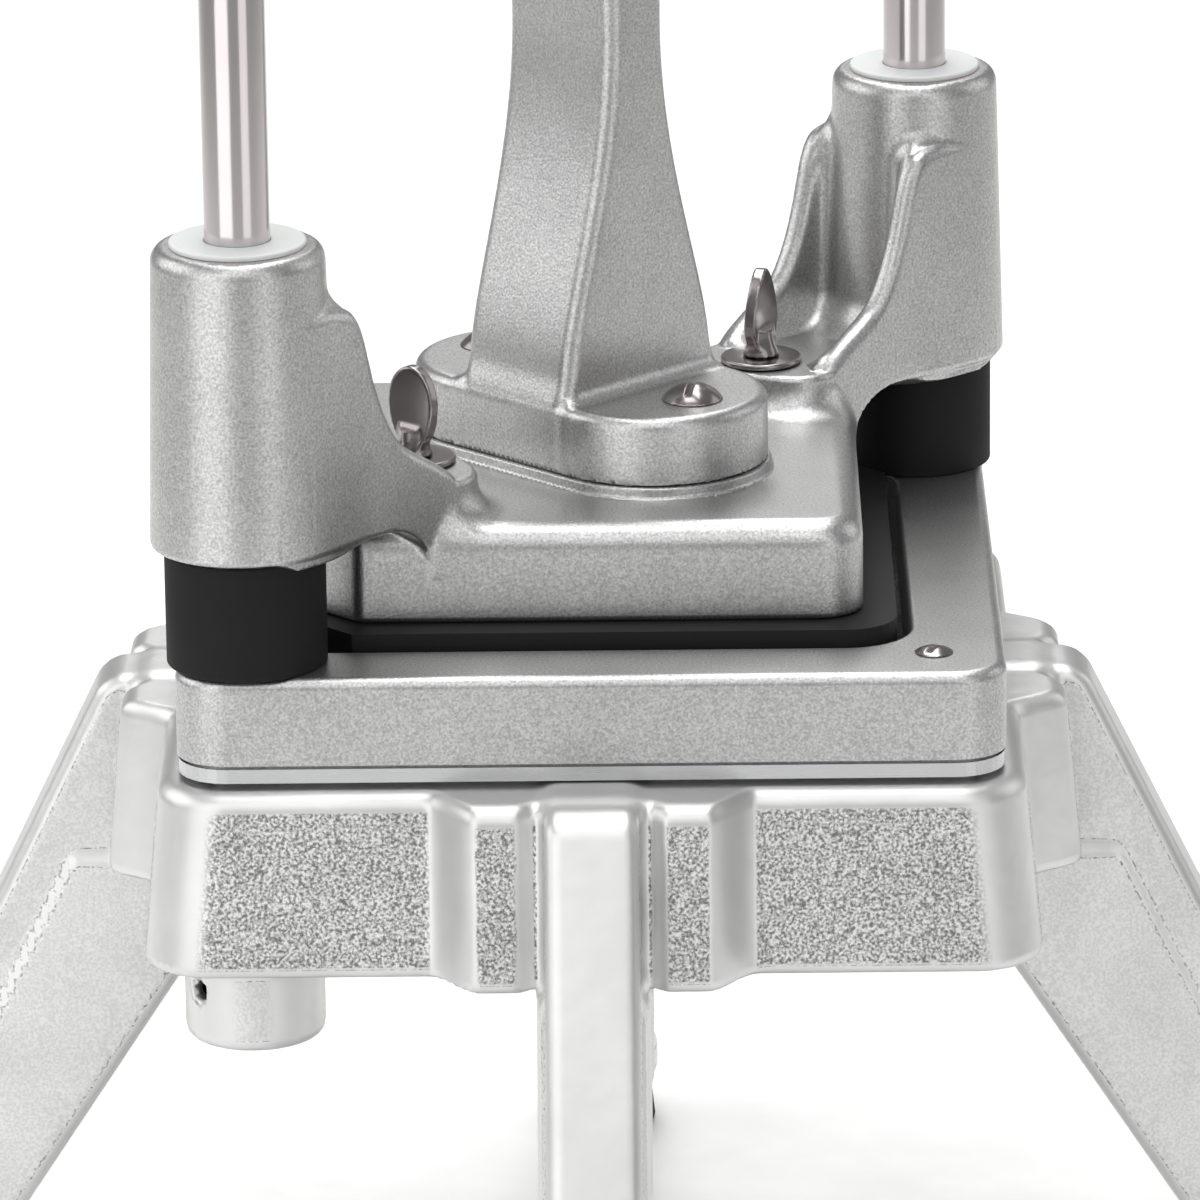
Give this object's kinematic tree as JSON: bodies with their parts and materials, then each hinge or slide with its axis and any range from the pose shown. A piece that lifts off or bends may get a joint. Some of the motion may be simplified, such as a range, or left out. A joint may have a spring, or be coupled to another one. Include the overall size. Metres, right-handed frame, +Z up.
{
  "type": "vegetable dicer",
  "caption": "Push-down commercial vegetable dicer on splayed cast legs, with a square blade grid, diagonal guide rods, sliding pusher head and cross handle.",
  "frame": {"origin": "on the floor, under the middle of the blade grid", "axes": "+Z up along the guide rods, +X to the right leg, +Y to the rear leg"},
  "size_m": [0.339, 0.339, 0.4227],
  "materials": {
    "bright_cast_aluminium": "as-cast, tumbled bright, coarse grain",
    "cast_aluminium": "as-cast, tumbled, fine grain",
    "blade_steel": "ground stainless",
    "polished_stainless": "polished stainless",
    "dark_steel": "black oxide",
    "black_rubber": "matt moulded",
    "black_nylon": "moulded, fine texture",
    "white_nylon": "turned, slightly translucent",
    "brass": "machined"
  },
  "bodies": {
    "stand": {"base_casting": "bright_cast_aluminium", "foot_front": "black_rubber", "foot_right": "black_rubber", "foot_rear": "black_rubber", "foot_left": "black_rubber", "foot_screws": "polished_stainless", "blade_plate": "blade_steel", "blades_across": "blade_steel", "blades_deep": "blade_steel", "upper_frame": "cast_aluminium", "frame_screws": "polished_stainless", "rod_front": "polished_stainless", "rod_rear": "polished_stainless", "bumper_front": "black_rubber", "bumper_rear": "black_rubber", "rod_grub_screws": "dark_steel"},
    "pusher": {"pusher_casting": "cast_aluminium", "bush_front_upper": "white_nylon", "bush_front_lower": "white_nylon", "bush_rear_upper": "white_nylon", "bush_rear_lower": "white_nylon", "push_block": "black_nylon", "push_block_inserts": "brass", "handle": "cast_aluminium", "handle_screws": "polished_stainless"},
    "thumb_front_washer": {"thumb_washer_front": "polished_stainless"},
    "thumb_front_screw": {"thumb_screw_front": "polished_stainless"},
    "thumb_rear_washer": {"thumb_washer_rear": "polished_stainless"},
    "thumb_rear_screw": {"thumb_screw_rear": "polished_stainless"}
  },
  "joints": [
    {"name": "pusher_slide", "type": "slide", "parent": "stand", "child": "pusher", "axis": [0, 0, 1], "range_m": [0, 0.16]},
    {"name": "thumb_front_lift", "type": "slide", "parent": "pusher", "child": "thumb_front_washer", "axis": [0, 0, 1], "range_m": [0, 0.005]},
    {"name": "thumb_front_turn", "type": "hinge", "parent": "thumb_front_washer", "child": "thumb_front_screw", "pos_m": [-0.03436, -0.03436, 0.21], "axis": [0, 0, 1], "range_deg": [0, 1805]},
    {"name": "thumb_rear_lift", "type": "slide", "parent": "pusher", "child": "thumb_rear_washer", "axis": [0, 0, 1], "range_m": [0, 0.005]},
    {"name": "thumb_rear_turn", "type": "hinge", "parent": "thumb_rear_washer", "child": "thumb_rear_screw", "pos_m": [0.03436, 0.03436, 0.21], "axis": [0, 0, 1], "range_deg": [0, 1805]}
  ],
  "couplings": [
    {"joint": "thumb_front_turn", "follows": "thumb_front_lift", "rad_per_m": 6283.2},
    {"joint": "thumb_rear_turn", "follows": "thumb_rear_lift", "rad_per_m": 6283.2}
  ]
}
